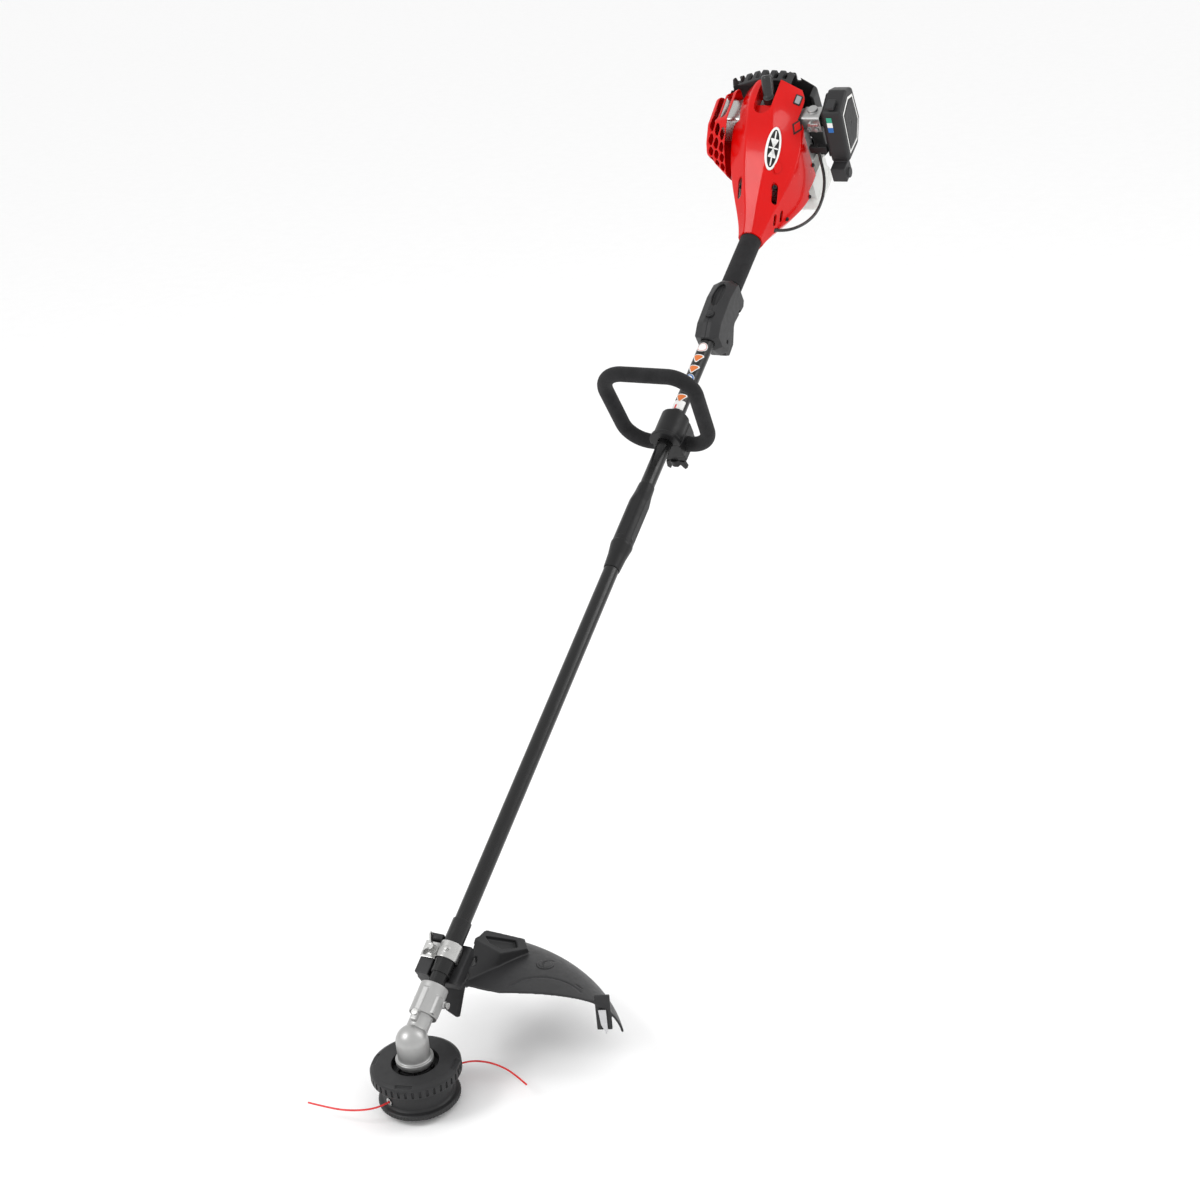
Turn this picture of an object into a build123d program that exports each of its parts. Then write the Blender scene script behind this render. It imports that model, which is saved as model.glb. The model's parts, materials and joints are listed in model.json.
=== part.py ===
"""Straight-shaft petrol string trimmer, in millimetres, +Z up.

The origin is on the cutting head's axis at the bottom of its tap knob. The head spins
about Z, and the boom rises from the gearbox towards +Y. +X is the side with the
carburettor and the guard.
"""
from math import cos, hypot, radians, sin, tan
import os

from build123d import *

# ---------------------------------------------------------------- driving dimensions
BOOM_TILT = 30.0  # degrees above level
GEAR_HEIGHT = 92.0  # crossing of the boom and head axes above the origin
TUBE_R = 11.1  # 7/8 inch boom tube
TUBE_BORE_R = 9.6
SLEEVE_R = 12.9  # protective sleeve under the guard clamp
DRIVE_R = 3.5

HEAD_R = 57.5  # ribbed cover
DRUM_R = 44.0
FLANGE_R = 52.0  # serrated lower flange of the drum
COVER_TOP = 61.5
LINE_R = 1.2
LINE_HEIGHT = 24.0

CLAMP_TOP = 75.0  # stations along the boom, from the axes' crossing
GUARD_CLAMP = 111.0
COUPLER_LOW = 740.0
COUPLER_SEAM = 786.0
COUPLER_TOP = 895.0
HANDLE = 1003.0
TRIGGER_LOW = 1201.0
TRIGGER_TOP = 1298.0
MOUTH = 1403.0  # mouth of the shroud's funnel
GRIP_R = 17.3

CYLINDER = MOUTH + 196.0  # station of the cylinder's axis
BORE_R = 17.0
REAR = MOUTH + 232.0  # rear edge of the shroud
WALL = 2.6

BOOM = Vector(0, cos(radians(BOOM_TILT)), sin(radians(BOOM_TILT)))
UP = Vector(0, -sin(radians(BOOM_TILT)), cos(radians(BOOM_TILT)))
SIDE = Vector(1, 0, 0)
CROSSING = Vector(0, 0, GEAR_HEIGHT)
BOOM_AXIS = Axis(tuple(CROSSING), tuple(BOOM))

os.makedirs("parts", exist_ok=True)


# ---------------------------------------------------------------- planes and helpers
def at(station, side=0.0, up=0.0):
    """Point beside and above the boom's axis at a station."""
    return CROSSING + BOOM * station + SIDE * side + UP * up


def across(station):
    """Plane across the boom: x to the side, y up, z back down the boom."""
    return Plane(origin=at(station), x_dir=SIDE, z_dir=BOOM * -1)


def beside(side, station=0.0, up=0.0):
    """Plane along the boom: x up the boom, y up, z to the side."""
    return Plane(origin=at(station, side, up), x_dir=BOOM, z_dir=SIDE)


def above(up, station=0.0, side=0.0):
    """Plane over the boom: x to the side, y up the boom, z up."""
    return Plane(origin=at(station, side, up), x_dir=SIDE, z_dir=UP)


def radial(angle, distance, height):
    """Plane that faces out of the head at an angle about its axis."""
    out = Vector(cos(radians(angle)), sin(radians(angle)), 0)
    return Plane(origin=out * distance + Vector(0, 0, height), x_dir=(-out.Y, out.X, 0), z_dir=out)


def round_bar(plane, length, radius, bore=0.0, mode=Mode.ADD):
    """Add or cut a round bar or tube that starts on a plane."""
    with BuildSketch(plane) as face:
        Circle(radius)
        if bore > 0:
            Circle(bore, mode=Mode.SUBTRACT)
    extrude(face.sketch, amount=length, mode=mode)


def boom_bar(low, high, radius, bore=0.0, side=0.0, up=0.0, mode=Mode.ADD):
    """Add or cut a round bar or tube along the boom between two stations."""
    plane = Plane(origin=at(high, side, up), x_dir=SIDE, z_dir=BOOM * -1)
    round_bar(plane, high - low, radius, bore, mode)


def cross_bar(left, right, station, up, radius, bore=0.0, mode=Mode.ADD):
    """Add or cut a round bar from side to side."""
    round_bar(beside(left, station, up), right - left, radius, bore, mode)


def post(low, high, station, side, radius, bore=0.0, mode=Mode.ADD):
    """Add or cut a round bar that stands off the boom."""
    round_bar(above(low, station, side), high - low, radius, bore, mode)


def block(stations, sides, ups, mode=Mode.ADD):
    """Add or cut a block in the boom's directions, each argument a low and high value."""
    with BuildSketch(across(stations[1])) as face:
        with Locations(((sides[0] + sides[1]) / 2, (ups[0] + ups[1]) / 2)):
            Rectangle(sides[1] - sides[0], ups[1] - ups[0])
    extrude(face.sketch, amount=stations[1] - stations[0], mode=mode)


def upright(low, high, radius, bore=0.0, mode=Mode.ADD):
    """Add or cut a round bar on the head's axis."""
    round_bar(Plane.XY.offset(low), high - low, radius, bore, mode)


def turned(points, axis=Axis.Z, plane=Plane.XZ, mode=Mode.ADD):
    """Add or cut a solid turned from a closed outline."""
    with BuildSketch(plane) as face:
        with BuildLine():
            Polyline(*points, close=True)
        make_face()
    revolve(face.sketch, axis=axis, mode=mode)


def save(piece, label):
    piece.part.label = label
    export_step(piece.part, f"parts/{label}.step")


# ---------------------------------------------------------------- cutting head
NOTCH_START = -75.0
EYELET_ANGLE = 246.0

with BuildPart() as head_cover:
    turned([(30, COVER_TOP), (52, COVER_TOP), (56, 59.5), (HEAD_R, 57), (HEAD_R, 46), (54.5, 46),
            (54.5, 55.5), (52, 58.3), (33, 58.3), (33, 47.5), (5, 47.5), (5, 50.5), (30, 50.5)])
    with BuildSketch(Plane.XY.offset(47)) as rim_grooves:
        with PolarLocations(HEAD_R, 40):
            Rectangle(4.2, 3.0)
    extrude(rim_grooves.sketch, amount=9.2, mode=Mode.SUBTRACT)
    for quarter in range(4):
        with BuildSketch(radial(NOTCH_START + 90 * quarter, 49, 61)) as top_notch:
            Rectangle(22, 3.2)
        extrude(top_notch.sketch, amount=9, mode=Mode.SUBTRACT)
        with BuildSketch(radial(NOTCH_START + 90 * quarter, 56, 57)) as side_notch:
            Rectangle(22, 6)
        extrude(side_notch.sketch, amount=5, mode=Mode.SUBTRACT)
save(head_cover, "head_cover")

with BuildPart() as head_drum:
    turned([(27, 8), (50, 8), (FLANGE_R, 10), (FLANGE_R, 14), (50, 15.5), (46, 16.5), (DRUM_R, 18.6),
            (DRUM_R, 58.3), (41.5, 58.3), (41.5, 10.5), (27, 10.5)])
    with BuildSketch(Plane.XY.offset(9)) as flange_grooves:
        with PolarLocations(FLANGE_R + 0.2, 72):
            Rectangle(1.8, 2.0)
    extrude(flange_grooves.sketch, amount=6, mode=Mode.SUBTRACT)
    for side_angle in (EYELET_ANGLE, EYELET_ANGLE + 180):
        round_bar(radial(side_angle, 36, LINE_HEIGHT), 12, 4.5, mode=Mode.SUBTRACT)
save(head_drum, "head_drum")

with BuildPart() as line_eyelets:
    for side_angle in (EYELET_ANGLE, EYELET_ANGLE + 180):
        round_bar(radial(side_angle, 41, LINE_HEIGHT), 3.2, 4.5, 2.2)
        round_bar(radial(side_angle, 44.2, LINE_HEIGHT), 1.4, 5.1, 2.2)
save(line_eyelets, "line_eyelets")

with BuildPart() as arbor_adapter:
    upright(50.5, 57, 23, 5)
    with BuildSketch(Plane.XY.offset(53.5)) as adapter_slots:
        with PolarLocations(22.5, 6):
            Rectangle(5, 4.5)
    extrude(adapter_slots.sketch, amount=5, mode=Mode.SUBTRACT)
save(arbor_adapter, "arbor_adapter")

with BuildPart() as line_spool:
    turned([(19, 12.5), (40, 12.5), (40, 14.5), (21, 14.5), (21, 37.5), (40, 37.5), (40, 39.5),
            (13, 39.5), (13, 36), (19, 36)])
    upright(14.6, 37.4, 35, 21.1)
save(line_spool, "line_spool")

with BuildPart() as bump_knob:
    turned([(0, 0), (16, 0), (22, 1.2), (25.6, 4), (26.4, 7), (26.4, 12.4), (19, 12.4), (19, 9), (0, 9)])
save(bump_knob, "bump_knob")

SPRING_LOW = 40.5
with BuildPart() as tap_spring:
    with BuildLine() as tap_coil:
        Helix(pitch=3.1, height=6.2, radius=17, center=(0, 0, SPRING_LOW))
    with BuildSketch(Plane(origin=tap_coil.line @ 0, z_dir=tap_coil.line % 0)):
        Circle(0.7)
    sweep(path=tap_coil.line)
save(tap_spring, "tap_spring")

# Each cutting line leaves its eyelet and curls back as it hangs in the air. The
# routes are chosen by hand, in the head's frame.
LINE_ROUTES = {
    "trimmer_line_left": [(-16.3, -36.5, 24), (-21.6, -48.4, 23.8), (-31, -58, 23), (-45, -65, 21.8),
                          (-66, -70.5, 20.4), (-90, -72.5, 20), (-118, -74, 21.2)],
    "trimmer_line_right": [(16.3, 36.5, 24), (22, 49.5, 24.2), (30, 60.5, 24.2), (43, 69.5, 23.8),
                           (62, 73.5, 22.8), (83, 71.5, 21.6), (104, 64, 20.4), (125, 53, 19.2)],
}


def route_radii(points):
    """Bend radius at each inner point: 0.45 of the shorter run over the tangent of half the turn."""
    radii = []
    for before, here, after in zip(points, points[1:], points[2:]):
        run_in = Vector(*here) - Vector(*before)
        run_out = Vector(*after) - Vector(*here)
        half_turn = radians(run_in.get_angle(run_out)) / 2
        radii.append(0.45 * min(run_in.length, run_out.length) / tan(half_turn))
    return radii


def corded(points, radius):
    """Add a cord's tube: straight runs joined by tangent arcs."""
    radii = route_radii(points)
    with BuildLine() as route:
        FilletPolyline(*points, radius=radii)
    with BuildSketch(Plane(origin=route.line @ 0, z_dir=route.line % 0)) as section:
        Circle(radius)
    sweep(section.sketch, path=route.line)


for line_name, line_points in LINE_ROUTES.items():
    with BuildPart() as cutting_line:
        corded(line_points, LINE_R)
    save(cutting_line, line_name)

# ---------------------------------------------------------------- gearbox
with BuildPart() as gearbox_housing:
    upright(66, GEAR_HEIGHT, 20.5)
    with Locations((0, 0, GEAR_HEIGHT)):
        Sphere(20.5)
    upright(63.5, 69, 24)
    upright(58.5, 63.5, 21)
    boom_bar(6, 40, 14)
    boom_bar(34, CLAMP_TOP, 18.5)
    block((20, 66), (-4, 4), (0, 20.5))
    cross_bar(-20.5, 20.5, 57, -8, 5)
    block((36, 60), (9, 18.9), (-6, 12))
    upright(58, 84, 13, mode=Mode.SUBTRACT)
    with Locations((0, 0, GEAR_HEIGHT)):
        Sphere(14.6, mode=Mode.SUBTRACT)
    boom_bar(8, 34, 10, mode=Mode.SUBTRACT)
    boom_bar(34, CLAMP_TOP + 1, TUBE_R, mode=Mode.SUBTRACT)
    block((42, CLAMP_TOP + 1), (-1.2, 1.2), (-25, 0), mode=Mode.SUBTRACT)
save(gearbox_housing, "gearbox_housing")

with BuildPart() as output_shaft:
    upright(42.5, 88, 5)
save(output_shaft, "output_shaft")

GEAR_TEETH = 19
PINION_TEETH = 14
with BuildPart() as output_gear:
    turned([(5, 82.5), (9, 82.5), (11.2, 86), (11.2, 88.1), (6.4, 89.3), (5, 89.3)])
    with BuildSketch(Plane.XY.offset(87.6)) as gear_gaps:
        with PolarLocations(11.2, GEAR_TEETH):
            Rectangle(6, 1.3)
    extrude(gear_gaps.sketch, amount=3, mode=Mode.SUBTRACT)
save(output_gear, "output_gear")

with BuildPart() as pinion:
    turned([(5.4, 0), (5.4, 4.4), (8.7, 7.7), (11.5, 6.5), (13, DRIVE_R), (33.9, DRIVE_R), (33.9, 0)],
           axis=BOOM_AXIS, plane=beside(0))
    with BuildSketch(across(9.6)) as pinion_gaps:
        with PolarLocations(7.7, PINION_TEETH):
            Rectangle(3, 1.3)
    extrude(pinion_gaps.sketch, amount=6, mode=Mode.SUBTRACT)
save(pinion, "pinion")

# ---------------------------------------------------------------- boom
SHAFT_JOINT = 812.0
SHAFT_END = MOUTH + 73.9

with BuildPart() as lower_tube:
    boom_bar(35, COUPLER_SEAM + 14, TUBE_R, TUBE_BORE_R)
    boom_bar(92, 168, SLEEVE_R, TUBE_R)
save(lower_tube, "lower_tube")

with BuildPart() as upper_tube:
    boom_bar(COUPLER_SEAM + 15, MOUTH + 58, TUBE_R, TUBE_BORE_R)
save(upper_tube, "upper_tube")

# Two lengths of shaft, joined by a square end in a square socket.
with BuildPart() as drive_shaft:
    boom_bar(SHAFT_JOINT - 5.8, SHAFT_END, DRIVE_R)
    boom_bar(SHAFT_JOINT - 5.8, SHAFT_JOINT + 8, 5)
    block((SHAFT_JOINT - 7, SHAFT_JOINT + 6.2), (-2.1, 2.1), (-2.1, 2.1), mode=Mode.SUBTRACT)
    boom_bar(34, SHAFT_JOINT - 6, DRIVE_R)
    block((SHAFT_JOINT - 6, SHAFT_JOINT + 6), (-2, 2), (-2, 2))
save(drive_shaft, "drive_shaft")

with BuildPart() as shaft_bushings:
    for bushing in (180, 380, 580, 760, 950, 1110, 1270, 1430):
        boom_bar(bushing, bushing + 16, TUBE_BORE_R, DRIVE_R + 0.06)
save(shaft_bushings, "shaft_bushings")


# The coupler is an upper sleeve with flats and a lower collar.
with BuildPart() as coupler:
    boom_bar(COUPLER_SEAM + 0.3, COUPLER_TOP - 33.9, 15.6)
    turned([(COUPLER_TOP - 34, 0), (COUPLER_TOP - 34, 15.6), (COUPLER_TOP - 16, 13.2),
            (COUPLER_TOP, 12.2), (COUPLER_TOP, 0)], axis=BOOM_AXIS, plane=beside(0))
    for flat in (-1, 1):
        block((COUPLER_SEAM + 8, COUPLER_TOP - 22), (min(flat * 14, flat * 20), max(flat * 14, flat * 20)),
              (-20, 20), mode=Mode.SUBTRACT)
        block((COUPLER_SEAM + 8, COUPLER_TOP - 22), (-20, 20),
              (min(flat * 14.2, flat * 20), max(flat * 14.2, flat * 20)), mode=Mode.SUBTRACT)
    boom_bar(COUPLER_SEAM, COUPLER_TOP + 1, TUBE_R, mode=Mode.SUBTRACT)
    turned([(COUPLER_LOW, 0), (COUPLER_LOW, 12.2), (COUPLER_SEAM - 22, 13.8), (COUPLER_SEAM - 4, 16.4),
            (COUPLER_SEAM, 16.4), (COUPLER_SEAM, 0)], axis=BOOM_AXIS, plane=beside(0))
    boom_bar(COUPLER_LOW - 1, COUPLER_SEAM + 1, TUBE_R, mode=Mode.SUBTRACT)
save(coupler, "coupler")

# ---------------------------------------------------------------- guard
GUARD_START = 33.0
GUARD_ARC = 60.0
GUARD_SKIN = 3.0
GUARD_RIM = [(80, 120), (150, 117), (205, 109.5), (238, 96), (255, 78), (264, 55)]


def guard_plane():
    """Upright plane through the head's axis at the guard's open end."""
    out = Vector(cos(radians(GUARD_START)), sin(radians(GUARD_START)), 0)
    return Plane(origin=(0, 0, 0), x_dir=out, z_dir=(out.Y, -out.X, 0))


def guard_shell(drop_top, drop_bottom):
    """Add the guard's curved sheet between two depths under its top surface."""
    def lowered(drop):
        """The rim curve moved in and down, so the skirt keeps its thickness too."""
        moved = []
        for reach, height in GUARD_RIM:
            lean = max(0.0, (reach - 205) / 60)
            moved.append((reach - drop * lean, height - drop * (1 - 0.75 * lean)))
        return moved

    top = lowered(drop_top)
    bottom = lowered(drop_bottom)
    with BuildSketch(guard_plane()) as section:
        with BuildLine():
            Spline(*top)
            Line(top[-1], bottom[-1])
            Spline(*reversed(bottom))
            Line(bottom[0], top[0])
        make_face()
    revolve(section.sketch, axis=Axis.Z, revolution_arc=GUARD_ARC)


def guard_groove(outline_start, outline_middle, outline_end, width, depth):
    """A curved slot of even depth that follows the guard's top surface."""
    with BuildPart(mode=Mode.PRIVATE) as cutter:
        guard_shell(-4, depth)
        with BuildLine(Plane.XY.offset(60)) as path:
            ThreePointArc(outline_start, outline_middle, outline_end)
        with BuildSketch(Plane.XY.offset(60)) as band:
            trace(path.line, width)
        extrude(band.sketch, amount=80, mode=Mode.INTERSECT)
    return cutter.part


ARC_GROOVE = guard_groove((78, 112), (118, 152), (165, 144), 3.0, 1.3)
SHORT_GROOVE = guard_groove((100, 196), (92, 186), (97, 172), 3.0, 1.3)
SLOT_GROOVE = guard_groove((150, 158), (156, 155.5), (162, 154), 2.4, 1.8)

# Moulded seat under the boom that the clamp pulls the guard against.
with BuildPart() as guard_seat:
    block((GUARD_CLAMP - 24, GUARD_CLAMP + 30), (-36, 22), (-26, -9))
    block((GUARD_CLAMP - 24, GUARD_CLAMP - 2), (-34, -14), (-10, 6))
    block((GUARD_CLAMP + 24.5, GUARD_CLAMP + 33), (-34, -14), (-10, 6))
    block((GUARD_CLAMP, GUARD_CLAMP + 23), (-36, -17), (-10, -2.3))
    boom_bar(GUARD_CLAMP - 26, GUARD_CLAMP + 36, SLEEVE_R + 0.1, mode=Mode.SUBTRACT)
    boom_bar(GUARD_CLAMP - 0.5, GUARD_CLAMP + 23.5, 15.4, mode=Mode.SUBTRACT)
    post(-30, 0, GUARD_CLAMP + 12, -25, 3.05, mode=Mode.SUBTRACT)
GUARD_BRACKET = guard_seat.part

# The mounting box has a roof that falls away from the boom, with a recess in it.
BOX_ROOF = Plane(origin=(18, 141, 158), x_dir=(0.794, 0, -0.606), z_dir=(0.606, 0.045, 0.794))
ROOF_CORNERS = [(18, 141, 158), (48, 152, 135), (64, 192, 120), (55, 203, 127), (20, 167, 155)]
RECESS_CORNERS = [(24, 158, 153), (33, 153, 146), (46, 160, 136), (56, 182, 127), (50, 190, 131)]


def roof_point(x, y, z):
    """A point on the box's roof, as the roof plane's own x and y."""
    local = BOX_ROOF.to_local_coords(Vector(x, y, z))
    return (local.X, local.Y)


with BuildPart() as guard:
    guard_shell(0, GUARD_SKIN)
    with BuildSketch(Plane.XY.offset(30)) as guard_outline:
        with BuildLine():
            Polyline((-8, 92), (13, 90), (31, 95), (73, 96), (176, 133), (216, 148), (300, 190),
                     (300, 320), (-8, 320), close=True)
        make_face()
    extrude(guard_outline.sketch, amount=120, mode=Mode.INTERSECT)
    with BuildSketch(Plane.XY.offset(111)) as box_base:
        with BuildLine():
            Polyline((24, 96), (45, 146), (63, 197), (52, 206), (16, 206), close=True)
        make_face()
    with BuildSketch(BOX_ROOF) as box_top:
        with BuildLine():
            Polyline(*[roof_point(*corner) for corner in ROOF_CORNERS], close=True)
        make_face()
    loft([box_base.sketch, box_top.sketch], ruled=True)
    with BuildSketch(BOX_ROOF) as box_recess:
        with BuildLine():
            Polyline(*[roof_point(*corner) for corner in RECESS_CORNERS], close=True)
        make_face()
    extrude(box_recess.sketch, amount=-6, mode=Mode.SUBTRACT)
    for window in range(3):
        with BuildSketch(Plane.YZ.offset(12)) as rib_window:
            with Locations((103 + 21 * window, 126.5 + 7.5 * window)):
                Rectangle(14, 9)
        extrude(rib_window.sketch, amount=14, mode=Mode.SUBTRACT)
    add(ARC_GROOVE, mode=Mode.SUBTRACT)
    add(SHORT_GROOVE, mode=Mode.SUBTRACT)
    add(SLOT_GROOVE, mode=Mode.SUBTRACT)
    with BuildSketch(Plane.XZ.offset(-92)) as flap_face:
        with BuildLine():
            Polyline((-8, 116), (26, 116), (12, 68), (7, 66), (-8, 74), close=True)
        make_face()
    extrude(flap_face.sketch, amount=-3)
    with BuildSketch(Plane.XY.offset(58)) as blade_boss:
        with BuildLine():
            Polyline((186, 138), (204, 145), (202, 150), (184, 143), close=True)
        make_face()
    extrude(blade_boss.sketch, amount=50)
    add(GUARD_BRACKET)
save(guard, "guard")

with BuildPart() as cutoff_blade:
    with BuildSketch(Plane(origin=(186.4, 136.4, 60), x_dir=(18, 7, 0), z_dir=(7, -18, 0))) as blade_face:
        with BuildLine():
            Polyline((4, 30), (14, 30), (14, -2), (12, -6), (6, 8), close=True)
        make_face()
    extrude(blade_face.sketch, amount=1.5)
save(cutoff_blade, "cutoff_blade")

with BuildPart() as guard_clamp:
    boom_bar(GUARD_CLAMP, GUARD_CLAMP + 23, 15.2, SLEEVE_R)
    block((GUARD_CLAMP - 1, GUARD_CLAMP + 24), (-16, 16), (-16, -9), mode=Mode.SUBTRACT)
    block((GUARD_CLAMP, GUARD_CLAMP + 23), (-38, -13.6), (-2, 1))
    post(0, 3.2, GUARD_CLAMP + 12, -25, 6)
    post(11, 17, GUARD_CLAMP + 11, 3, 3.6)
    boom_bar(GUARD_CLAMP - 2, GUARD_CLAMP + 25, SLEEVE_R, mode=Mode.SUBTRACT)
    post(-3, 4, GUARD_CLAMP + 12, -25, 3.05, mode=Mode.SUBTRACT)
save(guard_clamp, "guard_clamp")

with BuildPart() as wing_bolt:
    post(-22, 10, GUARD_CLAMP + 12, -25, 3.0)
    post(3.4, 11, GUARD_CLAMP + 12, -25, 5.5)
    for wing in (-1, 1):
        with BuildSketch(beside(-26.2, GUARD_CLAMP + 12, 7)) as wing_face:
            with BuildLine():
                Polyline((wing * 3, -3), (wing * 14, 6), (wing * 16, 13), (wing * 12, 15), (wing * 3, 4),
                         close=True)
            make_face()
        extrude(wing_face.sketch, amount=2.4)
save(wing_bolt, "wing_bolt")

# ---------------------------------------------------------------- front handle
LOOP_R = 11.6
LOOP_CORNERS = [(-82, 121), (68, 121), (60, -28), (-74, -28)]
LOOP_CORNER_R = [38, 36, 36, 40]

with BuildPart() as front_handle:
    with BuildLine(across(HANDLE)) as loop_path:
        FilletPolyline(*LOOP_CORNERS, radius=LOOP_CORNER_R, close=True)
    with BuildSketch(Plane(origin=loop_path.line @ 0, z_dir=loop_path.line % 0)) as loop_section:
        Circle(LOOP_R)
    sweep(loop_section.sketch, path=loop_path.line)
save(front_handle, "front_handle")

with BuildPart() as handle_clamp_cap:
    boom_bar(HANDLE - 25, HANDLE + 25, 22)
    boom_bar(HANDLE - 25, HANDLE - 18, 24.5)
    block((HANDLE - 26, HANDLE + 26), (-26, 26), (-27, -3), mode=Mode.SUBTRACT)
    boom_bar(HANDLE - 26, HANDLE + 26, TUBE_R + 0.05, mode=Mode.SUBTRACT)
save(handle_clamp_cap, "handle_clamp_cap")

with BuildPart() as handle_clamp_base:
    boom_bar(HANDLE - 24, HANDLE + 24, 22)
    block((HANDLE - 24, HANDLE + 24), (-22, 22), (-30, -8))
    block((HANDLE - 26, HANDLE + 26), (-26, 26), (-3.3, 30), mode=Mode.SUBTRACT)
    boom_bar(HANDLE - 26, HANDLE + 26, TUBE_R + 0.05, mode=Mode.SUBTRACT)
    cross_bar(-30, 30, HANDLE, -28, LOOP_R, mode=Mode.SUBTRACT)
    block((HANDLE - 20, HANDLE + 24), (-21, 21), (-44, -30.3))
    cross_bar(-30, 30, HANDLE, -28, LOOP_R, mode=Mode.SUBTRACT)
    post(-46, -30, HANDLE - 16, 0, 3.05, mode=Mode.SUBTRACT)
    post(-62, -34, HANDLE - 16, 0, 3.0)
save(handle_clamp_base, "handle_clamp_base")

with BuildPart() as handle_wing_nut:
    post(-56, -44.3, HANDLE - 16, 0, 8, 3.04)
    for wing in (-1, 1):
        with BuildSketch(across(HANDLE - 13)) as wing_face:
            with BuildLine():
                Polyline((wing * 6, -47), (wing * 15, -49), (wing * 17, -62), (wing * 12, -66),
                         (wing * 6, -55), close=True)
            make_face()
        extrude(wing_face.sketch, amount=6)
    post(-67, -44, HANDLE - 16, 0, 3.04, mode=Mode.SUBTRACT)
save(handle_wing_nut, "handle_wing_nut")

# ---------------------------------------------------------------- trigger housing
TRIGGER_PIVOT = (TRIGGER_TOP - 12, -24)


def trigger_shell(side):
    """One half of the trigger housing, split down the boom's middle plane."""
    with BuildPart() as shell:
        with BuildSketch(beside(0)) as outline:
            with BuildLine():
                Polyline((TRIGGER_LOW - 22, 14), (TRIGGER_LOW + 2, 25), (TRIGGER_LOW + 55, 29),
                         (TRIGGER_TOP - 10, 25), (TRIGGER_TOP, 18), (TRIGGER_TOP, -22),
                         (TRIGGER_TOP - 12, -32), (TRIGGER_LOW + 44, -26), (TRIGGER_LOW + 2, -44),
                         (TRIGGER_LOW - 8, -40), (TRIGGER_LOW - 20, -15), close=True)
            make_face()
            fillet(outline.vertices(), 4)
        extrude(outline.sketch, amount=side * 7)
        side_face = shell.faces().sort_by(Axis.X)[-1 if side > 0 else 0]
        extrude(side_face, amount=13, taper=26)
        boom_bar(TRIGGER_LOW - 30, TRIGGER_TOP + 5, TUBE_R, mode=Mode.SUBTRACT)
        block((TRIGGER_LOW - 4, TRIGGER_TOP - 3), (-6.4, 6.4), (-50, -13.5), mode=Mode.SUBTRACT)
        post(13, 40, TRIGGER_LOW + 16, 0, 6.4, mode=Mode.SUBTRACT)
        with BuildSketch(above(21, TRIGGER_LOW + 58)) as almond:
            Ellipse(9, 24)
        extrude(almond.sketch, amount=12, mode=Mode.SUBTRACT)
        for screw_station in (TRIGGER_LOW + 4, TRIGGER_TOP - 30):
            cross_bar(14, 23, screw_station, -21, 3.4, mode=Mode.SUBTRACT)
            cross_bar(-23, -14, screw_station, -21, 3.4, mode=Mode.SUBTRACT)
        if side > 0:
            cross_bar(-6.3, 6.6, TRIGGER_PIVOT[0], TRIGGER_PIVOT[1], 2.0)
    return shell


for shell_name, shell_side in (("trigger_housing_left", 1), ("trigger_housing_right", -1)):
    housing_half = trigger_shell(shell_side)
    save(housing_half, shell_name)

with BuildPart() as throttle_trigger:
    with BuildSketch(beside(-6)) as trigger_face:
        with BuildLine():
            Polyline((TRIGGER_TOP - 4, -20), (TRIGGER_TOP - 6, -34), (TRIGGER_LOW + 62, -44),
                     (TRIGGER_LOW + 40, -66), (TRIGGER_LOW + 18, -68), (TRIGGER_LOW + 8, -58),
                     (TRIGGER_LOW + 20, -32), (TRIGGER_LOW + 60, -20), close=True)
        make_face()
        fillet(trigger_face.vertices(), 3.5)
    extrude(trigger_face.sketch, amount=12)
    cross_bar(-8, 8, TRIGGER_PIVOT[0], TRIGGER_PIVOT[1], 2.05, mode=Mode.SUBTRACT)
save(throttle_trigger, "throttle_trigger")

with BuildPart() as stop_switch:
    post(15.5, 29.5, TRIGGER_LOW + 16, 0, 6.2)
    post(29.5, 31, TRIGGER_LOW + 16, 0, 4.2)
save(stop_switch, "stop_switch")

with BuildPart() as rear_grip:
    boom_bar(TRIGGER_TOP + 0.3, MOUTH + 2, GRIP_R, TUBE_R)
save(rear_grip, "rear_grip")

# ---------------------------------------------------------------- shroud
# Each section: station behind the mouth, then left, right, bottom and top of the
# outline, and the corner cuts at the bottom, the top left and the top right.
SHROUD_SECTIONS = [
    (0, -19.5, 19.5, -19.5, 19.5, 11.4, (11.4, 11.4), (11.4, 11.4)),
    (40, -31, 31, -29, 45, 15, (20, 20), (20, 22)),
    (80, -46, 46, -41, 73, 20, (28, 26), (30, 34)),
    (120, -56, 56, -49, 100, 24, (34, 30), (36, 44)),
    (160, -60, 58, -50, 120, 26, (34, 32), (42, 42)),
    (232, -62, 58, -48, 130, 26, (34, 34), (46, 34)),
]


def shroud_section(entry, inset):
    """Rounded outline across the boom, moved in by an inset."""
    behind, left, right, bottom, top, low_cut, left_cut, right_cut = entry
    left, right, bottom, top = left + inset, right - inset, bottom + inset, top - inset
    with BuildSketch(across(MOUTH + behind)) as outline:
        with BuildLine():
            Polyline((left + low_cut, bottom), (right - low_cut, bottom), (right, bottom + low_cut),
                     (right, top - right_cut[1]), (right - right_cut[0], top), (left + left_cut[0], top),
                     (left, top - left_cut[1]), (left, bottom + low_cut), close=True)
        make_face()
        fillet(outline.vertices(), 5 + behind / 40)
    return outline.sketch


def shroud_body(inset):
    """The shroud's loft, whole or moved in by its wall."""
    return loft([shroud_section(entry, inset) for entry in SHROUD_SECTIONS], mode=Mode.PRIVATE)


NOTCH_SIDE = -4.0
NOTCH_R = 15.0
NOTCH_FRONT = MOUTH + 178.0


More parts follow.
